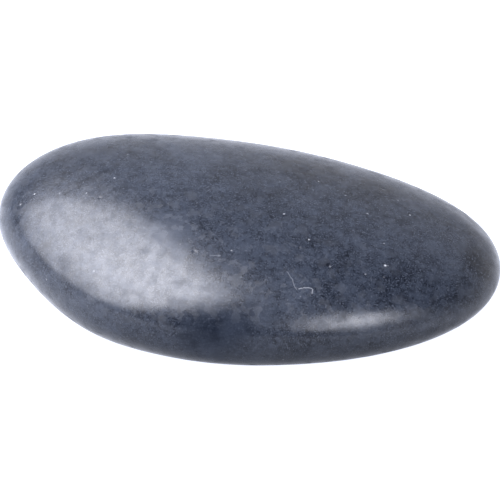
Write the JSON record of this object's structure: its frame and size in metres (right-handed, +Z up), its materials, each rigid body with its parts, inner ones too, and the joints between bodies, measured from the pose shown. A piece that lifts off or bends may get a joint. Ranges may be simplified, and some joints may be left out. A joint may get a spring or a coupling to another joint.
{
  "type": "river pebble",
  "caption": "Smooth dark river pebble, an uneven flat oval with a broad and a slim end, worn to a satin polish, that lies on its flattest side",
  "frame": {"origin": "middle of the bounding box's underside, on the surface that the stone lies on", "axes": "+X along the length towards the slim end, +Y towards the back, +Z up through the thickness"},
  "size_m": [0.08, 0.0472, 0.0228],
  "materials": {
    "stone": "satin, water-worn"
  },
  "bodies": {
    "root": {"pebble": "stone"}
  },
  "joints": []
}
